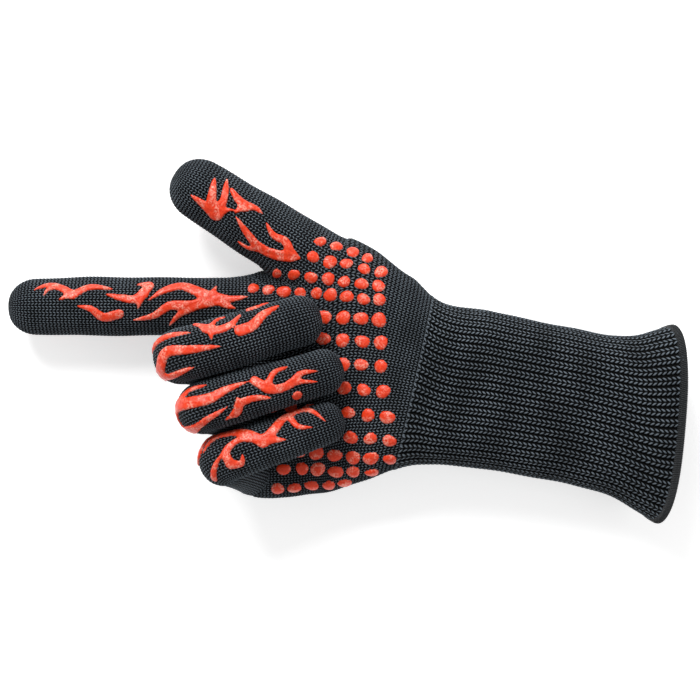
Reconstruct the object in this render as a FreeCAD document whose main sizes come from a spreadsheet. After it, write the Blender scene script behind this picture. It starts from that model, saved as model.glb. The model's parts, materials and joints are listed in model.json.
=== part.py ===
"""A knitted heat resistant glove for the right hand, held as if pointing: index finger and thumb straight,
middle, ring and little fingers curled on the palm.

Frame: +Z up out of the palm, the glove lies on its back, -X is where the index finger points, and the origin
is under the middle of the glove on the surface that it lies on. Lengths are in millimetres, angles in degrees.

Each finger is a chain of knitted tubes that turn about its knuckles. A tube ends square at a knuckle on the
back of the finger, and is mitred on the palm side, so that the tubes close on each other at full bend. The knit
that stretches over a knuckle is a piece of its own.
"""
import FreeCAD, Part
import math
import os
import Sketcher
from FreeCAD import Placement, Rotation, Vector

FINGERS = ("index", "middle", "ring", "little")
CURLED = ("middle", "ring", "little")
SEGMENTS = ("base", "mid", "tip")
KNUCKLES = ("mcp", "pip", "dip")

# Where each knuckle's centre is, and the centre of the round fingertip: x, y, z and the knit's radius there.
POINTS = {
    "index_mcp": (-55.0, 17.0, 17.0, 14.3),
    "index_pip": (-102.0, 17.0, 18.0, 14.3),
    "index_dip": (-131.0, 17.0, 18.6, 14.2),
    "index_end": (-155.5, 17.0, 18.6, 13.8),
    "middle_mcp": (-56.9, -10.8, 16.5, 12.5),
    "middle_pip": (-80.9, -7.9, 60.7, 12.1),
    "middle_dip": (-51.2, 1.0, 59.4, 11.5),
    "middle_end": (-23.5, 9.4, 51.4, 10.6),
    "ring_mcp": (-52.0, -36.5, 16.5, 12.1),
    "ring_pip": (-70.2, -32.4, 59.1, 11.5),
    "ring_dip": (-40.4, -23.7, 58.7, 10.9),
    "ring_end": (-12.2, -15.6, 52.3, 10.1),
    "little_mcp": (-46.5, -65.0, 16.5, 12.0),
    "little_pip": (-60.5, -57.3, 53.5, 11.3),
    "little_dip": (-37.6, -49.1, 54.3, 10.5),
    "little_end": (-11.5, -40.3, 51.3, 9.7),
    "thumb_root": (22.8, 14.5, 20.8, 19.0),
    "thumb_mcp": (-19.6, 41.0, 24.0, 16.2),
    "thumb_pip": (-50.1, 60.0, 27.5, 15.4),
    "thumb_end": (-73.0, 74.3, 30.5, 14.6),
    "wrist": (33.0, -18.0, 25.4, 25.0),
    "mouth": (155.5, -42.0, 24.5, 24.0),
}

# The glove's hand and cuff as one flattened tube: where along x, the middle's y, half width and half height.
SECTIONS = (
    (-64.0, -21.5, 53.0, 14.0),
    (-46.0, -22.0, 54.4, 15.6),
    (-28.0, -22.0, 55.2, 17.8),
    (-10.0, -20.0, 55.0, 19.8),
    (8.0, -17.6, 52.4, 22.0),
    (22.0, -16.4, 47.2, 24.2),
    (34.0, -17.6, 43.6, 25.0),
    (50.0, -20.8, 41.0, 24.8),
    (80.0, -26.6, 38.8, 24.2),
    (108.0, -32.2, 38.4, 23.6),
    (128.0, -37.0, 39.6, 23.4),
    (143.0, -41.0, 43.2, 23.6),
    (155.0, -43.2, 48.0, 24.2),
    (168.0, -44.6, 51.0, 24.6),
)

CELLS = {
    "knit_wall": 1.8,  # outer shell of aramid knit
    "liner_gap": 0.1,  # between the shell and the cotton liner
    "liner_wall": 1.2,
    "print_height": 0.8,  # silicone print, how far it stands out of the knit
    "knuckle_gap": 0.2,  # from a knuckle's centre plane to the end of each tube
    "stretch_clearance": 0.05,  # from the knit over a knuckle to each tube
    "binding_width": 3.4,  # overlocked edge at the cuff's mouth
    "binding_height": 0.8,
    "dot_radius": 3.9,
    "dot_pitch_x": 9.6,
    "dot_start_x": 5.2,
    "dot_pitch_y": 11.2,
    "lick_radius": 9.0,  # a flame lick is a crescent between two circles
    "lick_shift": 4.6,
    "index_azimuth": 180.0,  # where each finger points when it is straight
    "middle_azimuth": 186.0,
    "ring_azimuth": 196.0,
    "little_azimuth": 198.0,
    "index_lean": 12.0,  # the index finger bends in a plane that leans away from the curled ones
    "index_mcp_bend": 60.0,  # full bend of the knuckles that rest straight
    "index_pip_bend": 82.0,
    "index_dip_bend": 35.0,
    "thumb_mcp_bend": 20.0,
    "thumb_pip_bend": 33.0,
    "wrist_bend": 36.0,  # either way
    "mouth_slant": 17.0,  # the cuff's mouth leans back on the palm side
    "mouth_turn": -4.8,
    "thumb_lane": 38.0,  # how wide the cut is that ends the hand where the thumb begins
    "shift_x": 1.75,  # puts the origin under the middle of the glove
    "shift_y": 0.74,
}
THUMB_PALMAR_XYZ = (-0.17, -0.15, 0.85)  # the way that the thumb bends
UP = Vector(0, 0, 1)
SMALLEST_SOLID = 3.0  # cubic millimetres
REACH = 400.0  # side of the boxes that stand for half spaces
RIGHT_THROUGH = 60.0  # longer than any finger is thick
DOT_TOP = 80.0  # above the whole glove
GUSSET_LENGTH = 4.0  # a straight knuckle's knit is cut from a tube this many radii long

doc = FreeCAD.newDocument("heat_resistant_glove")
sheet = doc.addObject("Spreadsheet::Sheet", "Dims")


def write_sheet():
    cells = dict(CELLS)
    for name, (x, y, z, radius) in POINTS.items():
        cells.update({name + "_px": x, name + "_py": y, name + "_pz": z, name + "_rad": radius})
    for i, (x, y, half_width, half_height) in enumerate(SECTIONS):
        cells.update({f"section{i}_px": x, f"section{i}_py": y,
                      f"section{i}_width": half_width, f"section{i}_height": half_height})
    for row, (name, value) in enumerate(cells.items(), start=1):
        sheet.set(f"A{row}", name)
        sheet.set(f"B{row}", str(value))
        sheet.setAlias(f"B{row}", name)
    doc.recompute()


def size(name):
    return float(sheet.get(name))


def point(name):
    return Vector(size(name + "_px") + size("shift_x"), size(name + "_py") + size("shift_y"), size(name + "_pz"))


# Document objects, each bound to the sheet where it has a size.

def add(kind, name, **properties):
    made = doc.addObject(kind, name)
    for key, value in properties.items():
        setattr(made, key, value)
    return made


def bind(made, **expressions):
    for key, expression in expressions.items():
        made.setExpression(key, expression)
    return made


def cut(name, base, *tools):
    for i, tool in enumerate(tools):
        base = add("Part::Cut", name if i == len(tools) - 1 else f"{name}_cut{i}", Base=base, Tool=tool)
    return base


def common(name, *shapes):
    return add("Part::MultiCommon", name, Shapes=list(shapes))


def fuse(name, *shapes):
    return add("Part::MultiFuse", name, Shapes=list(shapes))


def facing(direction):
    return Rotation(UP, direction)


def half_space(name, centre, normal, offset, across=REACH):
    """Everything past the plane that stands offset from centre along normal, within across of it sideways."""
    turn = facing(normal)
    corner = centre + normal * offset - turn.multVec(Vector(across / 2, across / 2, 0))
    return add("Part::Box", name, Length=across, Width=across, Height=REACH, Placement=Placement(corner, turn))


def slab(name, low_y, high_y):
    return add("Part::Box", name, Length=2 * REACH, Width=high_y - low_y, Height=2 * REACH,
               Placement=Placement(Vector(-REACH, low_y, -REACH), Rotation()))


def distance(a, b):
    return "sqrt(" + " + ".join(f"(Dims.{a}_{k} - Dims.{b}_{k})^2" for k in ("px", "py", "pz")) + ")"


def cone(name, start, end, inset):
    """A round bar from one point's radius to the next one's, both less the inset expression."""
    direction = (point(end) - point(start)).normalize()
    bar = add("Part::Cone", name, Placement=Placement(point(start), facing(direction)))
    return bind(bar, Radius1=f"Dims.{start}_rad - ({inset})", Radius2=f"Dims.{end}_rad - ({inset})",
                Height=distance(start, end))


def ball(name, centre, inset):
    made = add("Part::Sphere", name, Placement=Placement(point(centre), Rotation()))
    return bind(made, Radius=f"Dims.{centre}_rad - ({inset})")


def bar(name, start, end, inset):
    """One tube's solid form, with a round end if it ends in a fingertip."""
    body = cone(name + "_cone", start, end, inset)
    return fuse(name + "_form", body, ball(name + "_ball", end, inset)) if end.endswith("_end") else body


LAYERS = {  # outer and inner inset of each layer from the knit's outer face
    "knit": ("0", "Dims.knit_wall"),
    "liner": ("Dims.knit_wall + Dims.liner_gap", "Dims.knit_wall + Dims.liner_gap + Dims.liner_wall"),
    "print": ("-Dims.print_height", "0"),
}


# Knuckles.

class Knuckle:
    """A hinge between two tubes: where it is, its axis, and the planes that end the tubes on both sides."""

    def __init__(self, name, before, after, palmar=None):
        """A straight knuckle bends towards palmar by the sheet's angle, and a curled one is fully bent."""
        self.name = name
        self.centre = point(name)
        self.curled = palmar is None
        self.before = before.normalize()
        self.after = after.normalize() if self.curled else self.before
        self.bend = math.degrees(before.getAngle(after)) if self.curled else size(name + "_bend")
        self.axis = self.before.cross(self.after if self.curled else palmar).normalize()
        self.planes = {}

    def turned(self, direction, degrees):
        return Rotation(self.axis, degrees).multVec(direction)

    def normals(self):
        """Square and mitred end normals of the tube before the knuckle, then of the one after it."""
        return ((self.before, self.turned(self.before, self.bend / 2)),
                (self.after * -1, self.turned(self.after, -self.bend / 2) * -1))

    def ends(self, side, across=REACH):
        """The half spaces that end a tube here: side 0 is the tube before the knuckle, 1 the one after."""
        if (side, across) not in self.planes:
            gap = -size("knuckle_gap")
            self.planes[side, across] = [
                half_space(f"{self.name}_{side}_{kind}_{across:.0f}", self.centre, normal, gap, across)
                for kind, normal in zip(("square", "mitre"), self.normals()[side])]
        return self.planes[side, across]


def knuckles_of(finger):
    azimuth = math.radians(size(finger + "_azimuth"))
    straight = Vector(math.cos(azimuth), math.sin(azimuth), 0)
    lean = math.radians(size("index_lean"))
    palmar = None if finger in CURLED else Vector(0, math.sin(lean), math.cos(lean))
    stops = [f"{finger}_{k}" for k in (*KNUCKLES, "end")]
    ways = [straight] + [point(b) - point(a) for a, b in zip(stops, stops[1:])]
    return [Knuckle(stop, Vector(before), Vector(after), palmar)
            for stop, before, after in zip(stops, ways, ways[1:])]


def thumb_knuckles():
    stops = ["thumb_root", "thumb_mcp", "thumb_pip", "thumb_end"]
    ways = [point(b) - point(a) for a, b in zip(stops, stops[1:])]
    return [Knuckle(stop, Vector(before), Vector(after), Vector(*THUMB_PALMAR_XYZ))
            for stop, before, after in zip(stops[1:], ways, ways[1:])]


def tube(name, layer, start, end, ends):
    """One layer of one finger tube, from one knuckle to the next knuckle or the fingertip."""
    outer, inner = LAYERS[layer]
    return cut(name, bar(name + "_outer", start, end, outer), bar(name + "_inner", start, end, inner), *ends)


def knuckle_knit(name, knuckle):
    """The stretchy knit over one knuckle: round over the back of a bent one, a gusset under a straight one."""
    if knuckle.curled:
        shell = cut(name + "_shell", ball(name + "_outer", knuckle.name, "0"),
                    ball(name + "_inner", knuckle.name, "Dims.knit_wall"))
        first, last = knuckle.before * -1, knuckle.after
    else:
        length = GUSSET_LENGTH * size(knuckle.name + "_rad")
        start = knuckle.centre - knuckle.before * (length / 2)
        place = Placement(start, facing(knuckle.before))
        outer = bind(add("Part::Cylinder", name + "_outer", Height=length, Placement=place),
                     Radius=f"Dims.{knuckle.name}_rad")
        inner = bind(add("Part::Cylinder", name + "_inner", Height=length, Placement=place),
                     Radius=f"Dims.{knuckle.name}_rad - Dims.knit_wall")
        shell = cut(name + "_shell", outer, inner)
        (_, first), (_, last) = knuckle.normals()
        first, last = first * -1, last * -1
    gap = size("knuckle_gap") - size("stretch_clearance")
    return cut(name, shell, half_space(name + "_first", knuckle.centre, first, gap),
               half_space(name + "_last", knuckle.centre, last, gap))


def lick(name, centre, along, out, flip):
    """A flame lick's prism: a crescent whose tips point along the finger, right through it."""
    side = out.cross(along) * flip
    radius, shift = size("lick_radius"), size("lick_shift")
    middle = centre + side * (radius - shift)
    low = middle - out * (RIGHT_THROUGH / 2)
    discs = [bind(add("Part::Cylinder", f"{name}_{i}", Height=RIGHT_THROUGH,
                      Placement=Placement(low + side * (shift * i), facing(out))),
                  Radius="Dims.lick_radius") for i in range(2)]
    return cut(name, *discs)


def flames(name, start, end, out, ends, places):
    """The silicone licks on both faces of one finger tube."""
    skin = tube(name + "_skin", "print", start, end, ends)
    a, b = point(start), point(end)
    along = (b - a).normalize()
    out = (out - along * out.dot(along)).normalize()
    licks = [lick(f"{name}_lick{i}", a + (b - a) * share, along, out, 1 if i % 2 else -1)
             for i, share in enumerate(places)]
    return common(name, skin, fuse(name + "_licks", *licks) if len(licks) > 1 else licks[0])


# The hand and cuff: one flattened tube through the sections, then cut at the knuckles and the wrist.

def slot_sketch(body, name, index, inset):
    """A slot across the tube: two arcs joined by two lines, centred on the section's middle."""
    sketch = body.newObject("Sketcher::SketchObject", name)
    plane = next(f for f in body.Origin.OriginFeatures if f.Role == "YZ_Plane")
    sketch.AttachmentSupport = [(plane, "")]
    sketch.MapMode = "FlatFace"
    width = size(f"section{index}_width")
    radius = size(f"section{index}_height")
    reach = width - radius
    for sign, start in ((-1, 90), (1, -90)):
        circle = Part.Circle(Vector(sign * reach, 0, 0), UP, radius)
        sketch.addGeometry(Part.ArcOfCircle(circle, math.radians(start), math.radians(start + 180)), False)
    sketch.addGeometry(Part.LineSegment(Vector(-reach, -radius, 0), Vector(reach, -radius, 0)), False)
    sketch.addGeometry(Part.LineSegment(Vector(reach, radius, 0), Vector(-reach, radius, 0)), False)
    for arc, arc_end, line, line_end in ((0, 2, 2, 1), (2, 2, 1, 1), (1, 2, 3, 1), (3, 2, 0, 1)):
        sketch.addConstraint(Sketcher.Constraint("Tangent", arc, arc_end, line, line_end))
    sketch.addConstraint(Sketcher.Constraint("Equal", 0, 1))
    sketch.addConstraint(Sketcher.Constraint("Symmetric", 0, 3, 1, 3, -1, 1))
    sketch.addConstraint(Sketcher.Constraint("Horizontal", 2))
    rows = [sketch.addConstraint(Sketcher.Constraint("Radius", 1, radius)),
            sketch.addConstraint(Sketcher.Constraint("DistanceX", 0, 3, 1, 3, 2 * reach))]
    for row, label in zip(rows, ("half_height", "between_centres")):
        sketch.renameConstraint(row, label)
    sketch.setExpression("Constraints.half_height", f"Dims.section{index}_height - ({inset})")
    sketch.setExpression("Constraints.between_centres",
                         f"2 * (Dims.section{index}_width - Dims.section{index}_height)")
    sketch.setExpression(".AttachmentOffset.Base.x", f"Dims.section{index}_py + Dims.shift_y")
    sketch.setExpression(".AttachmentOffset.Base.y", f"Dims.section{index}_height + Dims.print_height")
    sketch.setExpression(".AttachmentOffset.Base.z", f"Dims.section{index}_px + Dims.shift_x")
    return sketch


def sleeve_form(name, inset):
    body = doc.addObject("PartDesign::Body", name)
    sketches = [slot_sketch(body, f"{name}_slot{i}", i, inset) for i in range(len(SECTIONS))]
    doc.recompute()
    loft = body.newObject("PartDesign::AdditiveLoft", name + "_loft")
    loft.Profile = sketches[0]
    loft.Sections = sketches[1:]
    loft.Ruled = True
    for sketch in sketches:
        sketch.Visibility = False
    return body


def hand_form(name, inset):
    """The sleeve and the thenar bulge that leads to the thumb, as one solid."""
    return fuse(name, sleeve_form(name + "_sleeve", inset), ball(name + "_root", "thumb_root", inset),
                cone(name + "_thenar", "thumb_root", "thumb_mcp", inset))


def lane_limits():
    """Halfway between neighbouring knuckles, and far outside the outer two."""
    ys = [point(f + "_mcp").y for f in FINGERS]
    middles = [(a + b) / 2 for a, b in zip(ys, ys[1:])]
    return list(zip([*middles, -REACH], [REACH, *middles]))


def hand_ends(knuckles):
    """What is cut off the hand's far end: each finger's lane past its knuckle, and the thumb's."""
    tools = []
    for finger, (low, high) in zip(FINGERS, lane_limits()):
        lane = slab(finger + "_lane", low, high)
        ends = fuse(finger + "_lane_ends", *knuckles[finger][0].ends(0))
        tools.append(common(finger + "_lane_tool", lane, ends))
    tools.append(fuse("thumb_lane_tool", *knuckles["thumb"][0].ends(0, size("thumb_lane"))))
    return tools


def wrist_normals():
    """The two mitres that end the hand at the wrist, and the two that end the cuff."""
    along = point("mouth") - point("wrist")
    along.z = 0
    along.normalize()
    axis = UP.cross(along)
    half = size("wrist_bend") / 2
    return {side: [Rotation(axis, degrees).multVec(way) for degrees in (-half, half)]
            for side, way in (("hand", along), ("cuff", along * -1))}


def wrist_ends(side):
    """Half spaces past the wrist's mitres on one side."""
    return [half_space(f"wrist_{side}_{i}", point("wrist"), normal, -size("knuckle_gap"))
            for i, normal in enumerate(wrist_normals()[side])]


def wrist_keep(side):
    """Everything on one side of both mitres, which the wrist's own knit leaves out."""
    gap = size("knuckle_gap") - size("stretch_clearance")
    return common(f"wrist_{side}_keep", *[
        half_space(f"wrist_{side}_keep{i}", point("wrist"), normal * -1, gap)
        for i, normal in enumerate(wrist_normals()[side])])


def mouth_plane(name, offset):
    """Everything past the cuff's slanted mouth."""
    turn = Rotation(UP, size("mouth_turn")).multiply(Rotation(Vector(0, 1, 0), -size("mouth_slant")))
    normal = turn.multVec(Vector(1, 0, 0))
    normal.z = -abs(normal.z)
    return half_space(name, point("mouth"), normal, offset)


def dot_bars(name, columns, rows, low_z, high_z, keep):
    """A grid of upright bars, one for each silicone dot."""
    bars = []
    for i in range(*columns):
        for j in range(*rows):
            x = size("dot_pitch_x") * i + size("dot_start_x")
            y = size("dot_pitch_y") * j
            if keep(x, y):
                place = Placement(Vector(x + size("shift_x"), y + size("shift_y"), low_z), Rotation())
                bars.append(bind(add("Part::Cylinder", f"{name}_{len(bars)}", Height=high_z - low_z,
                                     Placement=place), Radius="Dims.dot_radius"))
    return add("Part::Compound", name, Links=bars)


def palm_dot_place(x, y):
    """The dots stay clear of the finger tubes' mitres, the hand's side edge and the wrist's knit."""
    if y < -50:
        return -17 < x < 8 and y > -64
    return x > (-31 if y < -24 else -36) and x < 18 and y < 18 or -16 < x < 12 and 20 < y < 40


def back_dot_place(x, y):
    return -36 < x < 12 and -55 < y < 16


def build():
    write_sheet()
    knuckles = {finger: knuckles_of(finger) for finger in FINGERS}
    knuckles["thumb"] = thumb_knuckles()
    nodes = {}

    for finger in FINGERS:
        chain = knuckles[finger]
        stops = [k.name for k in chain] + [f"{finger}_end"]
        for i, segment in enumerate(SEGMENTS):
            ends = chain[i].ends(1) + (chain[i + 1].ends(0) if i < 2 else [])
            part = f"{finger}_{segment}"
            nodes[part + "_knit"] = tube(part + "_knit", "knit", stops[i], stops[i + 1], ends)
            nodes[part + "_liner"] = tube(part + "_liner", "liner", stops[i], stops[i + 1], ends)
            if finger == "index" or segment != "base":
                out = chain[i].axis.cross(chain[i].after)
                places = (0.5,) if segment != "tip" else (0.35, 0.75)
                nodes[part + "_flames"] = flames(part + "_flames", stops[i], stops[i + 1], out, ends, places)
            nodes[f"{finger}_{KNUCKLES[i]}_knit"] = knuckle_knit(f"{finger}_{KNUCKLES[i]}_knit", chain[i])

    thumb = knuckles["thumb"]
    stops = ["thumb_mcp", "thumb_pip", "thumb_end"]
    for i, segment in enumerate(("base", "tip")):
        ends = thumb[i].ends(1) + (thumb[i + 1].ends(0) if i < 1 else [])
        part = f"thumb_{segment}"
        for layer in ("knit", "liner"):
            nodes[f"{part}_{layer}"] = tube(f"{part}_{layer}", layer, stops[i], stops[i + 1], ends)
        out = thumb[i].axis.cross(thumb[i].after)
        nodes[part + "_flames"] = flames(part + "_flames", stops[i], stops[i + 1], out, ends, (0.4, 0.8))
        nodes[f"thumb_{KNUCKLES[i]}_knit"] = knuckle_knit(f"thumb_{KNUCKLES[i]}_knit", thumb[i])

    forms = {inset: hand_form(label, inset) for label, inset in (
        ("hand_face", "0"), ("hand_back", "Dims.knit_wall"),
        ("liner_face", LAYERS["liner"][0]), ("liner_back", LAYERS["liner"][1]),
        ("print_face", LAYERS["print"][0]))}
    knit = cut("hand_knit_form", forms["0"], forms["Dims.knit_wall"])
    lanes = hand_ends(knuckles)
    hand_side = wrist_ends("hand")
    nodes["palm_knit"] = cut("palm_knit", knit, *lanes, *hand_side)
    nodes["palm_liner"] = cut("palm_liner", forms[LAYERS["liner"][0]], forms[LAYERS["liner"][1]],
                              *lanes, *hand_side)
    edge = mouth_plane("mouth_edge", -size("binding_width"))
    nodes["cuff_knit"] = cut("cuff_knit", knit, *wrist_ends("cuff"), edge)
    nodes["wrist_knit"] = cut("wrist_knit", knit, wrist_keep("hand"), wrist_keep("cuff"))
    binding_band = common("binding_band", edge, cut("binding_space", edge, mouth_plane("mouth_face", 0)))
    binding_outer = sleeve_form("binding_outer", "-Dims.binding_height")
    binding_inner = sleeve_form("binding_inner", "Dims.knit_wall + Dims.binding_height")
    nodes["cuff_binding"] = common("cuff_binding", cut("binding_ring", binding_outer, binding_inner), binding_band)

    skin = cut("hand_skin", forms[LAYERS["print"][0]], forms["0"], *lanes, *hand_side)
    middle_z = size("thumb_root_pz")
    nodes["palm_dots"] = common("palm_dots", skin, dot_bars(
        "palm_dot", (-5, 2), (-7, 5), middle_z, DOT_TOP, palm_dot_place))
    nodes["back_dots"] = cut("back_dots", dot_bars(
        "back_dot", (-4, 2), (-5, 2), 0, middle_z, back_dot_place), forms["0"])

    doc.recompute()
    return nodes


def check(nodes):
    for made in doc.Objects:
        if {"Invalid", "Error"} & set(made.State):
            raise SystemExit(f"{made.Name} failed: {made.State}")
    for name, made in nodes.items():
        shape = made.Shape
        if shape.isNull() or not shape.isValid() or not shape.Solids:
            raise SystemExit(f"{name} has no valid solid")
        smallest = min(solid.Volume for solid in shape.Solids)
        if smallest < SMALLEST_SOLID:
            raise SystemExit(f"{name} has a sliver of {smallest:.3f} cubic millimetres")


def write(nodes):
    os.makedirs("parts", exist_ok=True)
    for name, made in nodes.items():
        made.Label = name
        made.Shape.exportStep(f"parts/{name}.step")


nodes = build()
check(nodes)
write(nodes)
whole = Part.makeCompound([made.Shape for made in nodes.values()]).BoundBox
print(f"{len(nodes)} nodes, {whole.XMin:.2f} {whole.XMax:.2f} {whole.YMin:.2f} {whole.YMax:.2f} "
      f"{whole.ZMin:.2f} {whole.ZMax:.2f}")
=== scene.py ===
"""Looks of the heat resistant glove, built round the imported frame.

Everything is worked out in millimetres in the frame's own axes and written to Blender in metres.
"""
import json
import math

import bpy
import numpy as np
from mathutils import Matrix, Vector
from mathutils.bvhtree import BVHTree

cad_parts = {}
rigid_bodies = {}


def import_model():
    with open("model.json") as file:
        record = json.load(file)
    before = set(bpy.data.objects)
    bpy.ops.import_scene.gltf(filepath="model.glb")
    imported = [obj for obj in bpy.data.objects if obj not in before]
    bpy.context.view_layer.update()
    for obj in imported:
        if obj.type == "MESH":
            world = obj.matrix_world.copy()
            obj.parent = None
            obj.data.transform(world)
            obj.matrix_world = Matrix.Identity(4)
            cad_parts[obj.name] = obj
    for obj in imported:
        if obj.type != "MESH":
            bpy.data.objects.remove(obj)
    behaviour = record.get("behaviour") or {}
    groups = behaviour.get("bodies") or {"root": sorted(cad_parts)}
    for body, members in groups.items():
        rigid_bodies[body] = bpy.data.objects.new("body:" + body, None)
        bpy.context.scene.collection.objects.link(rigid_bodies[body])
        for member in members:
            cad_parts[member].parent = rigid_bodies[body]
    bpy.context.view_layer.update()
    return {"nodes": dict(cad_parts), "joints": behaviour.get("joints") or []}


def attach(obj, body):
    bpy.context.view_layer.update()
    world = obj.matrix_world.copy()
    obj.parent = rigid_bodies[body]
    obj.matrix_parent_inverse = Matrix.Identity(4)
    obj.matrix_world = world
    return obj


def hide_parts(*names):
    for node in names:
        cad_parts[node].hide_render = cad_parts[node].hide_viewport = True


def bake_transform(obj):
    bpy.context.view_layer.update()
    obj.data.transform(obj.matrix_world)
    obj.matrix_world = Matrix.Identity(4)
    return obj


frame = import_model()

MM = 0.001

# Knit: a course is one row of stitches and a wale is one column of them.
COURSE = 1.8  # height of one stitch
WALE = 2.85  # width of one stitch
RIB_COURSE = 2.1  # height of one stitch in the cuff
SHEAR = 1.6  # how far a stitch's legs climb, in courses for each wale across
RIB_SHEAR = 2.0  # the same in the cuff
RELIEF = 0.55  # from the bottom of a stitch to its crest
RIB_RELIEF = (0.9, 0.38)  # height of a rib, and of the stitches on it
STEPS = 4  # mesh rows in a course
WALE_STEPS = 6  # mesh columns in a wale
RIB_STEPS = 8  # mesh columns in a rib
LUMP_HEIGHT = 0.35  # slow unevenness of the worn knit
LINER_INSET = 2.3  # the liner's outer face, under the knit's
RIB_INSET = (1.9, 0.5)  # the cuff's inner face under its outer one, and how much deeper it is between ribs

# Silicone.
PRINT_HEIGHT = 0.75  # silicone over the stitches' crests
PRINT_STEP = 0.5  # mesh size of the printed flames
PRINT_EDGE = 1.3  # width of a flame's rounded edge
PRINT_REACH = 26  # how far across the skin a flame may lie
PRINT_TURN = 1.65  # and how far round the finger, as an angle from the middle of that side
PRINT_START = -14.0  # where the print of a straight finger may begin, before its first knuckle
DOT_RADII = (4.0, 3.55)  # along the hand and across it
DOT_SIZES = (0.9, 1.06)  # from the smallest dot to the largest
SMALL_DOT = 0.9  # size of the dots beside the thumb, against the others
SMALL_DOT_Y = 20.0  # where those begin
THUMB_ROOT_Y = 30.0  # the dots past this are printed on the thumb's first knuckle

JOINTS = {j["name"]: j for j in frame["joints"]}
CURLED = ("middle", "ring", "little")

# Knit radius at each knuckle and at the round fingertip, and how far the fingertip's centre is from the last
# knuckle.
FINGERS = {
    "index": ((14.5, 14.5, 14.4, 13.9), 24.5),
    "middle": ((12.7, 12.3, 11.7, 10.8), 30.0),
    "ring": ((12.3, 11.7, 11.1, 10.3), 30.0),
    "little": ((12.2, 11.5, 10.7, 9.9), 27.7),
    "thumb": ((17.5, 15.9, 14.8), 27.2),
}
# A finger's tube runs on inside the hand: the radius of its hidden end, as a share of the first knuckle's,
# and how far it goes.
BURIED = {"index": 0.93, "middle": 0.93, "ring": 0.93, "little": 0.93, "thumb": 1.12}
BACK_REACH = {"index": 22.0, "middle": 22.0, "ring": 22.0, "little": 22.0, "thumb": 38.0}
TIP_POWER = 0.88  # a fingertip's bluntness: 1 is a ball
BACK_STRETCH = 0.8  # how far from the middle line a bend's length is counted, as a share of the radius
FINE = 0.05  # step of the tables along a finger
# How far from the crease at a finger's root the knit begins to swell across it.
FILLETS = {"index": 9.0, "middle": 4.0, "ring": 4.0, "little": 4.0, "thumb": 9.0}
FILLET_FADE = 14.0  # and over what length that swelling dies out before the wrist
# How much wider than thick a curled finger is at its middle knuckle and at its tip, between its neighbours.
BREADTH = {"middle": (1.055, 1.12), "ring": (1.045, 1.045), "little": (1.05, 1.03)}
# How long a stretch of knit bends over each knuckle.
SPANS = {"index": (26, 24, 22), "middle": (14, 15, 14), "ring": (14, 15, 14), "little": (14, 15, 14),
         "thumb": (30, 24)}

# The hand and cuff: edges towards the thumb and the little finger, and the half height, along x.
THUMB_EDGE = ((-60, 32), (-43, 32.4), (-28, 35), (-13, 43), (2, 50), (13, 45.6), (23, 39), (31, 33),
              (35, 30.5), (39, 26.8), (43, 23), (73, 15), (93, 10.5), (113, 6.5), (133, 2.9), (145, 2.7),
              (155, 5.6), (166, 9))
LITTLE_EDGE = ((-67, -66), (-57, -74.5), (-47, -77.2), (-27, -77.2), (-17, -75.4), (-7, -74.2),
               (3, -71.2), (13, -68), (23, -63.4), (33, -60.4), (43, -60.2), (73, -63.5), (93, -66.5),
               (113, -70.5), (133, -77), (145, -83.6), (155, -89.4), (166, -93))
HALF_HEIGHT = ((-62, 14), (-44, 15.6), (-26, 17.8), (-8, 19.8), (10, 22), (24, 24), (36, 24.8),
               (52, 24.7), (82, 24.1), (110, 23.5), (130, 23.3), (145, 23.5), (157, 24.1), (170, 24.5))
LIE = 0.95  # the knit's lowest height above the floor, where the print on the back of the hand lifts it
TILT = ((-20, 0), (12, 0.196), (58, 0.196), (150, 0.084))  # how courses lean across the hand
TILT_Y = -17.26  # the line along the hand where the lean moves nothing
PALM_TURN = -42.0  # where the hand's end begins to round over between the fingers
PALM_CAP = 16.0  # length of that rounded end
PALM_START = 18.0  # where the hand's knit meets the wrist's
SEAM = 36.6  # where the plain knit turns into rib
SEAM_LAP = 1.6  # how far the rib begins under the plain knit
CUFF_START = 52.0  # where the wrist's rib meets the cuff's
MOUTH = 159.27
MOUTH_SLANT = 0.306  # how far the mouth leans back towards the floor, for each millimetre of height
MOUTH_HEIGHT = 24.5  # height of the mouth's middle
PALM_WALES = 96
RIBS = 48
WRIST_SPAN = 31.0  # length of the knit that bends at the wrist

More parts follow.
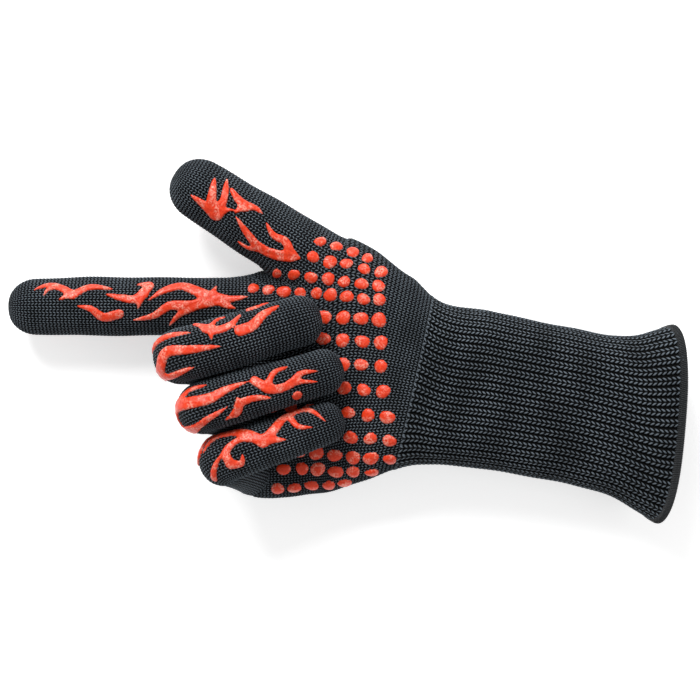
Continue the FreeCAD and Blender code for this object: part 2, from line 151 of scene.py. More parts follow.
# Flames on each finger, stroke by stroke: half width, then points from its root to its pointed end. A point
# is along the skin and across it, from the first knuckle or, on a curled finger, from the middle one.
PALM_FLAMES = {
    "index": ((2.7, (81, 2.5), (86, 6), (93, 9), (101, 5.5)), (2.5, (80, 3), (73, 7), (61, 6)),
              (1.7, (82, 2.5), (88, 0)), (1.6, (90, 8), (94, 5), (95.5, 2)),
              (3, (46, 3.5), (50, 0.5), (57, 1), (65, 3)), (2.8, (46, 4), (43, 8), (50, 8.5)),
              (1.7, (47, 1), (49, -5)), (3.1, (58, -7), (66, -8.5), (72, -4.5), (79, -3)),
              (3.6, (12, 0.5), (20, 4.5), (27, 7.5), (36, 5), (44, -0.5)),
              (3.5, (13, -1), (24, -3), (33, -3), (41, -8), (52, -10.5)),
              (2.3, (22, -4), (29, -8), (34, -14)), (2.6, (13, 1), (5, -3), (0, -4.5)),
              (2.6, (11, 2), (3, 0.5), (-6, 1.5)), (1.8, (13, 2), (10, 8))),
    "thumb": ((3.4, (50, -3), (55, 1), (58, 7), (60.5, 13)), (2.7, (50, -1), (51, 6), (53, 11), (55, 17)),
              (2.8, (51, -4), (58, -2), (66, -1)), (2, (49, -3), (47, 2), (44, 4)),
              (3, (40, 8.5), (46, 10), (51, 13)), (2.4, (41, 8.5), (36, 10.5), (31, 10)),
              (1.9, (41, 8), (43, 3)), (3.6, (9, -0.5), (15, -3.5), (24, -5), (33, -2), (42, 2)),
              (2.9, (9, 1), (15, 4.5), (21, 4), (28, 7.5)), (2, (23, -5), (28, -9), (35, -9)),
              (2.6, (10, 0), (4, 1.5))),
}
BACK_FLAMES = {
    "middle": ((2.8, (-6, 4), (4, 6), (20, 4)), (2.6, (-8, -8), (-15, -3), (-20, 5)),
               (3.6, (-9, -9), (0, -7), (7, -2), (15, -3.5), (24, -5), (32, -6.5)),
               (2.8, (-8, -9), (2, -13), (17, -12.5)), (2.9, (27, 4), (32, 1.5), (38, 2), (46, 7)),
               (2, (27, 4), (24, 8), (21, 11)), (1.7, (29, 3), (28, -3)),
               (1.5, (29, 4), (33, 8), (38, 9)), (3.4, (42, -2), (48, -1.5), (55, 2), (65, 4.5)),
               (1.5, (50, 9), (56, 9.5), (63, 13))),
    "ring": ((3.7, (-3, 3), (6, 1.5), (14, 0.5), (24, 2.5), (35, 3.5)), (2.3, (-1, 4), (6, 8), (16, 8)),
             (3, (-3, 2), (-8, -4), (-6, -11), (3, -13)), (2.7, (-5, -9), (4, -10.5), (13, -8), (23, -5)),
             (2.6, (25, -9.5), (29, -5.5), (36, -5), (44, -7.5)), (1.7, (27, -8), (28, -2)),
             (1.7, (26, -9), (19, -11.5)), (3, (38, 3), (44, -3), (53, -3.5), (60, 0), (69, -1)),
             (2.2, (43, -1), (48, 4), (56, 5)), (1.6, (54, -3), (61, -4), (68, -6)), (2.6, (56, -10))),
    "little": ((3.3, (31, -2), (25, 4), (17, 9), (8, 9), (1, 3)),
               (3.1, (31, -2), (38, 2), (46, 8), (54, 9), (63, -3)), (2.1, (33, -2), (42, -4.5)),
               (2.2, (47, 7), (49, 0), (56, -3)), (2.6, (13, -7), (13, -1), (19, 2.5), (27, 0)),
               (2.5, (13, -7), (18, -8), (20, -4)), (2.2, (0, -10), (5, -6), (11, -1)),
               (2.2, (-7, 2), (-2, 5), (3, 11), (8, 14))),
}
PLAIN_FLAME = ((3, (0, 0), (9, 5), (20, 3), (32, -2)), (2.2, (1, -1), (9, -4), (19, -8)),
               (1.8, (1, 1), (6, 6), (12, 9)))
# Where plain flames lie on the sides that are turned away: along, across and size.
PLAIN_PLACES = {
    "index": ((4, 1, 1), (46, -1, 0.9), (82, 0, 0.75)),
    "thumb": ((12, 0, 1), (49, 1, 0.8)),
    "curled": ((-30, 0, 0.6), (10, 0, 0.6), (42, 0, 0.7)),
}

# Rows of dots on the palm, from the fingers' end to the wrist's end of each: x, y, x, y and how many.
DOT_ROWS = ((-11.5, 49.5, 11.5, 41.3, 4), (-15.5, 41, 18, 34.6, 5), (-33, 33.8, 17, 27.2, 7),
            (-45, 26.6, 17, 20.6, 9), (-38, 13.4, 17, 10.6, 7), (-39, 3, 18, 0, 7),
            (-20, -10, 18, -11.8, 5), (-38, -20, 19, -24, 7), (-36, -31.6, 21, -36.4, 7),
            (-34, -43, 22, -48.2, 7), (-32, -53.4, 22, -58, 7), (-30, -62.4, 13, -64, 6),
            (-33, -72.6, 0.5, -69.8, 5))
BACK_DOT_ROWS = tuple((-36, y, 12, y, 6) for y in (-52, -41, -30, -19, -8, 3))

CAMERA_PLACE = (0.00275, -0.0040, 1.0)
LENS = 101.0
# Lamps: name, place, side and power.
LAMPS = (("key", (-0.4, 0.95, 1.0), 0.6, 19), ("fill", (0.8, -0.4, 1.1), 1.0, 3),
         ("rim", (0.1, 1.2, 0.5), 0.6, 3))
WORLD_LIGHT = 0.36
FLOOR_SIZE = 6.0


def table(pairs):
    """A smooth curve through a table, as a function of arrays."""
    xs, ys = np.array(pairs, float).T
    slopes = np.gradient(ys, xs)

    def curve(x):
        x = np.clip(x, xs[0], xs[-1])
        i = np.clip(np.searchsorted(xs, x) - 1, 0, len(xs) - 2)
        h = xs[i + 1] - xs[i]
        t = (x - xs[i]) / h
        a, b = 2 * t**3 - 3 * t**2 + 1, -2 * t**3 + 3 * t**2
        return (a * ys[i] + b * ys[i + 1] + (t**3 - 2 * t**2 + t) * h * slopes[i]
                + (t**3 - t**2) * h * slopes[i + 1])

    return curve


thumb_edge, little_edge, half_height, tilt = (table(t) for t in (THUMB_EDGE, LITTLE_EDGE, HALF_HEIGHT, TILT))


def smooth(t):
    """An even step from 0 to 1."""
    t = np.clip(t, 0, 1)
    return t * t * (3 - 2 * t)


def unit(v):
    """Vectors of length 1."""
    v = np.asarray(v, float)
    return v / np.maximum(np.linalg.norm(v, axis=-1, keepdims=True), 1e-9)


def turn(v, axis, angle):
    """Vectors turned about an axis, each by its own angle."""
    angle = np.asarray(angle, float)[..., None]
    c, s = np.cos(angle), np.sin(angle)
    return v * c + np.cross(axis, v) * s + axis * (v @ axis)[..., None] * (1 - c)


def lumps(p):
    """Slow unevenness of worn knit, the same for every piece that covers a place."""
    waves = ((0.11, 0.07, 0.05, 0.3), (-0.06, 0.13, 0.09, 1.7),
             (0.19, -0.15, 0.11, 2.9), (0.05, 0.21, -0.17, 4.4))
    return LUMP_HEIGHT * sum(np.sin(p @ np.array(w[:3]) + w[3]) for w in waves) / 2.4


# Stitches.

def stitch_columns(wales):
    """Mesh columns of plain knit: where each is across its stitch, from -0.5 to 0.5."""
    return (np.arange(wales * WALE_STEPS + 1) % WALE_STEPS) / WALE_STEPS - 0.5


def stitch_relief(across, rows):
    """Height of plain knit over its backing: two legs that lean together, with a groove between wales."""
    leg = np.interp(np.abs(across), (0, 0.167, 0.333, 0.5), (0.3, 1, 0.95, -0.1))
    stripe = np.interp(np.arange(rows) % STEPS, range(STEPS), (0.3, 0.85, 1, 0.75))
    return RELIEF * (leg[None, :] * stripe[:, None] - 0.62)


def rib_columns(ribs, steps=RIB_STEPS):
    """Mesh columns of rib knit: where each is across its rib, from -0.5 to 0.5."""
    return (np.arange(ribs * steps + 1) % steps) / steps - 0.5


def rib_relief(across, rows):
    """Rib knit: one raised wale of stitches, and a deep groove on each side."""
    wide = np.abs(across)
    crown = np.interp(wide, (0, 0.125, 0.25, 0.375, 0.5), (0.9, 1, 0.95, 0.7, -0.05))
    leg = np.interp(wide, (0, 0.125, 0.25, 0.375, 0.5), (0.2, 0.9, 1, 0.8, 0))
    stripe = np.interp(np.arange(rows) % STEPS, range(STEPS), (0, 0.7, 1, 0.6))
    return RIB_RELIEF[0] * (crown[None, :] - 0.85) + RIB_RELIEF[1] * leg[None, :] * stripe[:, None]


# Meshes.

def quads(rows, columns):
    """Corner numbers of a grid's faces."""
    a = (np.arange(rows - 1)[:, None] * columns + np.arange(columns - 1)[None, :]).ravel()
    return np.stack([a, a + 1, a + 1 + columns, a + columns], 1)


def make_mesh(name, vertices, faces, outward, uv, material):
    """A mesh of four-sided faces that look outward. Vertices are in millimetres, and each has its own uv."""
    corners = vertices[faces]
    normal = np.cross(corners[:, 2] - corners[:, 0], corners[:, 3] - corners[:, 1])
    if np.sum(normal * outward[faces].mean(1)) < 0:
        faces = faces[:, ::-1]
    mesh = bpy.data.meshes.new(name)
    mesh.vertices.add(len(vertices))
    mesh.vertices.foreach_set("co", (vertices * MM).astype(np.float32).ravel())
    mesh.loops.add(faces.size)
    mesh.loops.foreach_set("vertex_index", faces.astype(np.int32).ravel())
    mesh.polygons.add(len(faces))
    mesh.polygons.foreach_set("loop_start", np.arange(0, faces.size, 4, dtype=np.int32))
    mesh.polygons.foreach_set("use_smooth", np.ones(len(faces), bool))
    layer = mesh.uv_layers.new(name="stitch")
    layer.data.foreach_set("uv", uv[faces].astype(np.float32).ravel())
    mesh.materials.append(material)
    mesh.update()
    mesh.validate()
    made = bpy.data.objects.new(name, mesh)
    bpy.context.scene.collection.objects.link(made)
    return made


def carry(made, slot, nodes, body=None, knuckle=None, rest=None):
    """Hangs a piece on its body, or bends it over its knuckle from the straight layout to where it rests."""
    if knuckle is None:
        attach(made, body)
    else:
        start, end = knuckle.ends()
        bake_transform(made)
        made.data.vertices.foreach_set("co", (rest * MM).astype(np.float32).ravel())
        made.data.update()
    if nodes:
        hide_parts(*nodes)
    return made


# Fingers.

def rest_bend(joint):
    """How far a joint is bent as the glove lies: a curled finger's joints open from there to straight."""
    return math.radians(-JOINTS[joint]["range_deg"][0]) if joint.split("_")[0] in CURLED else 0.0


class Knuckle:
    """A joint's place in the frame, and how the knit lies over it at rest."""

    def __init__(self, name, before, span, along):
        joint = JOINTS[name]
        self.name = name
        self.parent, self.child = joint["parent"], joint["child"]
        self.centre = np.array(joint["pos_m"]) / MM
        self.axis = unit(joint["axis"])
        self.bend = rest_bend(name)
        self.before = before
        self.after = turn(before, self.axis, self.bend)
        self.back = -np.cross(self.axis, self.after)
        self.span = span
        self.along = along  # how far along the finger it is
        self.twist = 0.0

    def ends(self):
        """Where its bending stretch begins and ends, on the straight line before it."""
        return self.centre - self.before * self.span / 2, self.centre + self.before * self.span / 2

    def place(self, along, angle, radius, breadth=1.0):
        """Straight and resting places of points on the tube, at an angle from the back of the finger."""
        s = along - self.along
        angle = angle + self.twist
        out = np.cos(angle)[..., None] * self.back + (np.sin(angle) * breadth)[..., None] * self.axis
        v = s[..., None] * self.after + radius[..., None] * out
        share = smooth(s / self.span + 0.5)
        straight = turn(v, self.axis, np.full(s.shape, -self.bend))
        return self.centre + straight, self.centre + turn(v, self.axis, -(1 - share) * self.bend)

    def way_out(self, along, angle):
        """The resting direction away from the tube's middle line."""
        near, far = (self.place(along, angle, np.full(along.shape, r))[1] for r in (1.0, 2.0))
        return unit(far - near)


class Finger:
    """A finger's knuckles and its tube, laid out along its skin from the first knuckle."""

    def __init__(self, name):
        self.name = name
        self.radii, self.reach = FINGERS[name]
        names = ("mcp", "pip", "dip")[:len(self.radii) - 1]
        centres = [np.array(JOINTS[f"{name}_{k}"]["pos_m"]) / MM for k in names]
        first = unit(centres[1] - centres[0])
        before = turn(first, unit(JOINTS[f"{name}_mcp"]["axis"]), -rest_bend(f"{name}_mcp"))
        self.knuckles = []
        along = 0.0
        for i, k in enumerate(names):
            knuckle = Knuckle(f"{name}_{k}", unit(before), SPANS[name][i], along)
            if self.knuckles:
                last = self.knuckles[-1]
                side, back = knuckle.axis @ last.axis, knuckle.axis @ last.back
                knuckle.twist = last.twist + math.atan2(back, side)
            self.knuckles.append(knuckle)
            if i + 1 < len(names):
                along += float(np.linalg.norm(centres[i + 1] - centres[i]))
                before = unit(centres[i + 1] - centres[i])
        self.stops = [k.along for k in self.knuckles] + [along + self.reach]
        self.end = self.stops[-1] + self.radii[-1] * math.pi / 2
        self.wales = round(2 * math.pi * np.mean(self.radii) / WALE)
        self.back_reach = BACK_REACH[name]

    def profile(self, q, inset=0.0):
        """Distance along the middle line and radius, for a distance along the tube's skin."""
        tip = self.stops[-1]
        xs = [-self.back_reach, *self.stops]
        buried = self.radii[0] * BURIED[self.name]
        round_over = np.clip((q - tip) / self.radii[-1], 0, math.pi / 2)
        radius = np.interp(np.minimum(q, tip), xs, [buried, *self.radii])
        squeeze = np.maximum(np.cos(round_over), 0) ** TIP_POWER
        s = np.where(q > tip, tip + (self.radii[-1] - inset) * np.sin(round_over), q)
        return s, np.maximum((radius - inset) * squeeze, 0.05)

    def breadth(self, q):
        """How much wider than thick the finger is."""
        middle, tip = BREADTH.get(self.name, (1, 1))
        return 1 + (middle - 1) * smooth(q / self.stops[1]) + (tip - middle) * smooth(
            (q - self.stops[1]) / (self.stops[-1] - self.stops[1]))

    def row_table(self, knuckle, low, high):
        """Distances along a piece, and the courses up to each: more where a bend lengthens the back."""
        q = np.arange(low, high + 3, FINE)
        t = np.clip((q - knuckle.along) / knuckle.span + 0.5, 0, 1)
        stretch = 1 + BACK_STRETCH * self.radii[0] * knuckle.bend * 6 * t * (1 - t) / knuckle.span
        total = np.concatenate([[0], np.cumsum(stretch[:-1]) * FINE])
        length = np.interp(high, q, total)
        courses = max(2, round(length / COURSE))
        return q, total * courses / length, courses

    def cuts(self):
        """Where the finger's pieces begin and end: halfway between knuckles."""
        middles = [(a + b) / 2 for a, b in zip(self.stops[:-2], self.stops[1:-1])]
        return [-self.back_reach, *middles, self.end]


fingers = {name: Finger(name) for name in FINGERS}


def tube_distance(finger, p):
    """Distance from points to the tubes on each side of a finger's first knuckle, and the way out."""
    knuckle, radius = finger.knuckles[0], finger.radii[0]
    best = np.full(len(p), 1e9)
    out = np.zeros_like(p)
    for a, b in ((knuckle.centre - knuckle.before * finger.back_reach, knuckle.centre),
                 (knuckle.centre, knuckle.centre + knuckle.after * finger.stops[1])):
        d = b - a
        t = np.clip((p - a) @ d / (d @ d), 0, 1)
        off = p - a - t[:, None] * d
        length = np.linalg.norm(off, axis=1)
        near = length - radius < best
        best = np.where(near, length - radius, best)
        out[near] = off[near] / np.maximum(length[near], 1e-6)[:, None]
    return best, out


def palm_measure(p):
    """Below 1 inside the hand and above 1 outside it."""
    x, y, z = p.T
    x = x - tilt(x) * (y - TILT_Y)
    high, low, half = thumb_edge(x), little_edge(x), half_height(x)
    middle, width = (high + low) / 2, (high - low) / 2
    g = (np.abs((y - middle) / width) ** 2.8 + np.abs((z - LIE - half) / half) ** 2.8) ** (1 / 2.8)
    past = np.clip((palm_end(y) + 11 - x) / 11, 0, None)
    return (g**2.2 + past**2.2) ** (1 / 2.2)


def palm_distance(p):
    """Distance to the hand, to first order, and the way out of it."""
    g = palm_measure(p)
    step = 0.2
    slope = np.stack([(palm_measure(p + step * np.eye(3)[i]) - g) / step for i in range(3)], 1)
    size = np.maximum(np.linalg.norm(slope, axis=1), 1e-3)
    return (g - 1) / size, slope / size[:, None]


def palm_end(y):
    """Where the hand ends between the fingers: it follows the line of the knuckles."""
    centres = (fingers[name].knuckles[0].centre for name in ("index", *CURLED))
    ys, xs = zip(*sorted((c[1], c[0]) for c in centres))
    return np.interp(y, ys, xs) - 3.0


def fillet(p, out, distance, way, radius):
    """Swells a surface near another, so that the knit runs from one into the other without a crease."""
    near = np.clip(1 - np.abs(distance) / radius, 0, 1)
    push = radius * near**2 / 4
    mix = unit(out * (1 - near[:, None] / 2) + way * near[:, None] / 2)
    return p + mix * push[:, None]


# Materials.

class Shader:
    """A material's nodes, each made with its inputs."""

    def __init__(self, name):
        self.material = bpy.data.materials.new(name)
        self.material.use_nodes = True
        self.tree = self.material.node_tree
        self.tree.nodes.clear()
        self.surface = self.add("ShaderNodeBsdfPrincipled")
        output = self.add("ShaderNodeOutputMaterial")
        self.tree.links.new(self.surface.outputs[0], output.inputs["Surface"])

    def add(self, kind, inputs=(), **settings):
        node = self.tree.nodes.new(kind)
        for key, value in settings.items():
            setattr(node, key, value)
        for key, value in dict(inputs).items():
            self.put(node.inputs[key], value)
        return node

    def put(self, socket, value):
        if isinstance(value, bpy.types.NodeSocket):
            self.tree.links.new(value, socket)
        else:
            socket.default_value = value

    def math(self, operation, a, b=0.0, c=0.0):
        node = self.add("ShaderNodeMath", {0: a, 1: b, 2: c}, operation=operation)
        return node.outputs[0]

    def curve(self, value, low, high, start=0.0, end=1.0):
        ends = {"Value": value, "From Min": low, "From Max": high, "To Min": start, "To Max": end}
        node = self.add("ShaderNodeMapRange", ends, interpolation_type="SMOOTHSTEP")
        return node.outputs[0]

    def mix(self, share, a, b):
        node = self.add("ShaderNodeMix", data_type="RGBA")
        for socket, value in zip((node.inputs[0], node.inputs[6], node.inputs[7]), (share, a, b)):
            self.put(socket, value)
        return node.outputs[2]

    def noise(self, vector, scale, detail=2.0):
        node = self.add("ShaderNodeTexNoise", {"Vector": vector, "Scale": scale, "Detail": detail})
        return node.outputs["Fac"]

    def bump(self, height, distance, strength=1.0):
        node = self.add("ShaderNodeBump", {"Height": height, "Distance": distance, "Strength": strength})
        self.put(self.surface.inputs["Normal"], node.outputs[0])

    def finish(self, color, **sockets):
        self.put(self.surface.inputs["Base Color"], color)
        for name, value in sockets.items():
            self.put(self.surface.inputs[name.replace("_", " ")], value)
        return self.material


def grey(value):
    """Black yarn's grey, a little blue."""
    return (value * 0.84, value, value * 1.16, 1.0)


def knit_material(name, half_leg, shear, dark, painted_crest_highlight):
    """Yarn in V-shaped stitches: two twisted legs on each side of the wale's middle, with painted shade in
    the gaps and a painted highlight on the crests.
    """
    s = Shader(name)
    place = s.add("ShaderNodeUVMap", uv_map="stitch").outputs[0]
    u, v = (s.add("ShaderNodeSeparateXYZ", {0: place}).outputs[i] for i in range(2))
    across = s.math("ABSOLUTE", s.math("SUBTRACT", s.math("FRACT", u), 0.5))
    climb = s.math("FRACT", s.math("SUBTRACT", v, s.math("MULTIPLY", across, shear)))
    from_middle = s.math("ABSOLUTE", s.math("MULTIPLY_ADD", climb, 2.0, -1.0))
    bar = s.math("SUBTRACT", 1.0, s.math("POWER", from_middle, 2.0))
    off = s.math("DIVIDE", s.math("SUBTRACT", across, half_leg), half_leg)
    leg = s.math("MAXIMUM", s.math("SUBTRACT", 1.0, s.math("MULTIPLY", off, off)), 0.0)
    height = s.math("MULTIPLY", bar, s.math("POWER", leg, 0.7))
    twist = s.math("SINE", s.math("ADD", s.math("MULTIPLY", v, 19.0), s.math("MULTIPLY", across, 62.0)))
    fuzz = s.noise(place, 9.0, 3.0)
    worn = s.noise(place, 0.13, 2.0)
    thread = s.math("ADD", s.math("MULTIPLY", twist, 0.1), s.math("MULTIPLY", fuzz, 0.35))
    # Painted light: where a stitch stands high its colour goes to the slate grey of the painted highlight,
    # and the low gaps keep the near-black of painted shade.
    lit = s.curve(s.math("ADD", height, s.math("SUBTRACT", thread, 0.17)), 0.5, 1.0)
    color = s.mix(lit, dark, painted_crest_highlight)
    color = s.mix(s.curve(worn, 0.35, 0.7, 0.0, 0.35), color, dark)
    s.bump(s.math("ADD", height, s.math("MULTIPLY", thread, 0.35)), 0.0005, 0.8)
    return s.finish(color, Roughness=0.6, Sheen_Weight=0.006, Sheen_Roughness=0.4, Specular_IOR_Level=0.07)


def silicone_material():
    """Glossy printed silicone: orange red with small lumps, and pale salmon flecks that are painted
    highlights, partly also print worn thin.
    """
    s = Shader("silicone")
    place = s.add("ShaderNodeUVMap", uv_map="stitch").outputs[0]
    glint_and_wear_patches = s.noise(place, 0.22, 3.0)
    specks = s.noise(place, 1.1, 3.0)
    # Painted highlight: pale salmon flecks where the glossy print would catch the lamps, partly also print
    # worn thin.
    pale = s.math("MULTIPLY", s.curve(glint_and_wear_patches, 0.46, 0.64), s.curve(specks, 0.38, 0.62))
    color = s.mix(s.curve(specks, 0.3, 0.7), (0.75, 0.032, 0.006, 1), (0.86, 0.062, 0.014, 1))
    # Mixes in the pale salmon of the painted highlight.
    color = s.mix(s.math("MULTIPLY", pale, 0.72), color, (0.93, 0.42, 0.32, 1))
    bumps = s.math("ADD", s.math("MULTIPLY", specks, 0.7), s.math("MULTIPLY", s.noise(place, 3.0), 0.3))
    s.bump(bumps, 0.0007, 0.55)
    return s.finish(color, Roughness=0.3, Coat_Weight=0.1, Coat_Roughness=0.08, Specular_IOR_Level=0.35)


def cotton_material():
    """Soft off-white cotton in a fine knit."""
    s = Shader("cotton_liner")
    place = s.add("ShaderNodeUVMap", uv_map="stitch").outputs[0]
    u, v = (s.add("ShaderNodeSeparateXYZ", {0: place}).outputs[i] for i in range(2))
    rows = s.math("MULTIPLY", s.math("SINE", s.math("MULTIPLY", u, 12.566)),
                  s.math("SINE", s.math("MULTIPLY", v, 12.566)))  # two stitches to each one of the shell
    height = s.math("ADD", rows, s.noise(place, 5.0, 3.0))
    color = s.mix(s.curve(height, 0.0, 1.3), (0.34, 0.33, 0.30, 1), (0.66, 0.64, 0.60, 1))
    s.bump(height, 0.0004, 0.6)
    return s.finish(color, Roughness=0.85, Sheen_Weight=0.2)


def overlock_material():
    """Thick thread laid side by side over the cuff's edge."""
    s = Shader("overlock_thread")
    place = s.add("ShaderNodeUVMap", uv_map="stitch").outputs[0]
    u, v = (s.add("ShaderNodeSeparateXYZ", {0: place}).outputs[i] for i in range(2))
    thread = s.math("ABSOLUTE", s.math("SINE", s.math("MULTIPLY", s.math("SUBTRACT", u, v), math.pi)))
    twist = s.math("SINE", s.math("ADD", s.math("MULTIPLY", u, 9.0), s.math("MULTIPLY", v, 60.0)))
    height = s.math("ADD", thread, s.math("MULTIPLY", twist, 0.12))
    # Painted light: the thread's crests are lighter as a painted highlight, and the grooves between turns
    # are darker as painted shade.
    color = s.mix(s.curve(height, 0.3, 1.0), grey(0.003), grey(0.022))
    color = s.mix(s.curve(s.noise(place, 0.4, 3.0), 0.4, 0.7, 0.0, 0.5), color, grey(0.01))
    s.bump(height, 0.0005, 0.8)
    return s.finish(color, Roughness=0.5, Sheen_Weight=0.05, Specular_IOR_Level=0.4)


def floor_material():
    """Plain pale floor, lit a little from itself so that shadows stay faint."""
    s = Shader("studio_floor")
    place = s.add("ShaderNodeTexCoord").outputs["Object"]
    tone = s.curve(s.noise(place, 2.0), 0.3, 0.7)
    return s.finish(s.mix(tone, (0.86, 0.86, 0.86, 1), (0.88, 0.88, 0.88, 1)), Roughness=0.9,
                    Specular_IOR_Level=0.1, Emission_Color=(1, 1, 1, 1), Emission_Strength=0.55)


# The knit's two colours: the yarn's black, with painted shade in the gaps, and a slate grey that is a
# painted highlight on the stitches' crests.
KNIT = knit_material("aramid_knit", 0.25, SHEAR, grey(0.0006), grey(0.175))
RIB = knit_material("aramid_rib", 0.22, RIB_SHEAR, grey(0.0006), grey(0.195))
SILICONE = silicone_material()
COTTON = cotton_material()
OVERLOCK = overlock_material()


# Finger tubes and their liners.

def settle(finger, index, knuckle, along, angle, radius):
    """Straight and resting places on a finger's knit, with its unevenness and its run into the hand."""
    straight, rest = knuckle.place(along, angle, radius, finger.breadth(along))
    flat, ways = rest.reshape(-1, 3), knuckle.way_out(along, angle).reshape(-1, 3)
    flat = flat + ways * (lumps(flat) * np.clip(radius.reshape(-1) / 6, 0, 1))[:, None]
    if index == 0:
        flat = fillet(flat, ways, *palm_distance(flat), FILLETS[finger.name])
    flat[:, 2] = np.maximum(flat[:, 2], 0.05)
    return straight, flat


def segment_name(knuckle):
    """The length of finger past a knuckle: base, mid or tip."""
    return knuckle.child.split("_")[1]


def tube_piece(finger, index):
    """The knit over one knuckle, from halfway along the bone before it to halfway along the one after it."""
    knuckle = finger.knuckles[index]
    low, high = finger.cuts()[index:index + 2]
    q_table, v_table, courses = finger.row_table(knuckle, low, high)
    across = stitch_columns(finger.wales)
    rows = courses * STEPS + 1
    v = np.arange(rows)[:, None] / STEPS + SHEAR * np.abs(across)[None, :]
    q = np.minimum(np.interp(v, v_table, q_table), finger.end)
    u = np.arange(len(across)) / WALE_STEPS
    angle = np.broadcast_to(u * 2 * math.pi / finger.wales + math.pi, q.shape)
    along, radius = finger.profile(q)
    fade = np.clip(radius / 5, 0, 1)
    radius = np.maximum(radius + stitch_relief(across, rows) * fade, 0.05)
    straight, flat = settle(finger, index, knuckle, along, angle, radius)
    uv = np.stack([np.broadcast_to(u, q.shape), v], 2).reshape(-1, 2)
    segment = segment_name(knuckle)
    made = make_mesh(f"{finger.name}_{segment}_sleeve", straight.reshape(-1, 3), quads(rows, len(across)),
                     straight_out(knuckle, straight), uv, KNIT)
    nodes = [f"{knuckle.name}_knit", f"{finger.name}_{segment}_knit"]
    return carry(made, "knit", nodes, knuckle=knuckle, rest=flat)


def straight_out(knuckle, straight):
    """The way out of a straight tube, for a grid of points on it."""
    off = straight.reshape(-1, 3) - knuckle.centre
    return off - (off @ knuckle.before)[:, None] * knuckle.before


def liner_piece(finger, index):
    """The cotton lining of the same stretch of the finger."""
    knuckle = finger.knuckles[index]
    low, high = finger.cuts()[index:index + 2]
    q = np.linspace(low + 1, min(high, finger.end), 26)[:, None] + np.zeros(33)
    u = np.arange(33) / 32
    angle = np.broadcast_to(u * 2 * math.pi, q.shape)
    along, radius = finger.profile(q, LINER_INSET)
    straight, rest = knuckle.place(along, angle, radius, finger.breadth(along))
    flat = rest.reshape(-1, 3)
    uv = np.stack([np.broadcast_to(u * finger.wales, q.shape), q / COURSE], 2).reshape(-1, 2)
    segment = segment_name(knuckle)
    made = make_mesh(f"{finger.name}_{segment}_lining", straight.reshape(-1, 3), quads(*q.shape),
                     straight_out(knuckle, straight), uv, COTTON)
    return carry(made, "liner", [f"{finger.name}_{segment}_liner"], knuckle=knuckle, rest=flat)


# Silicone prints.

def stroke(width, *points):
    """A flame's stroke: its middle line through some points, and its half width, which ends in a point."""
    if len(points) == 1:
        return np.array(points, float), np.array([width], float)
    points = np.array(points, float)
    reached = np.concatenate([[0], np.cumsum(np.linalg.norm(np.diff(points, axis=0), axis=1))])
    along = np.linspace(0, reached[-1], max(8, int(reached[-1] * 2)))
    line = np.stack([table(list(zip(reached, points[:, i])))(along) for i in range(2)], 1)
    t = along / along[-1]
    return line, width * (1 - t) ** 0.65 * (0.8 + 0.55 * t) - 0.1


def plain_flames(finger):
    """The plain flame laid on a finger's side that is turned away."""
    places = PLAIN_PLACES.get(finger, PLAIN_PLACES["curled"])
    return [(width * size, *((a + x * size, c + y * size) for x, y in points))
            for a, c, size in places for width, *points in PLAIN_FLAME]


def flame_field(strokes, along, across):
    """Distance to the nearest stroke's edge, below 0 inside it, with the corners between strokes filled."""
    p = np.stack([along, across], -1).reshape(-1, 1, 2)
    field = np.full(len(p), 9.0)
    for shape in strokes:
        line, width = stroke(*shape)
        d = np.min(np.linalg.norm(p - line, axis=2) - width, axis=1)
        near = np.clip(1 - np.abs(field - d) / 2.2, 0, 1)
        field = np.minimum(field, d) - 0.45 * near**2
    return field.reshape(along.shape)


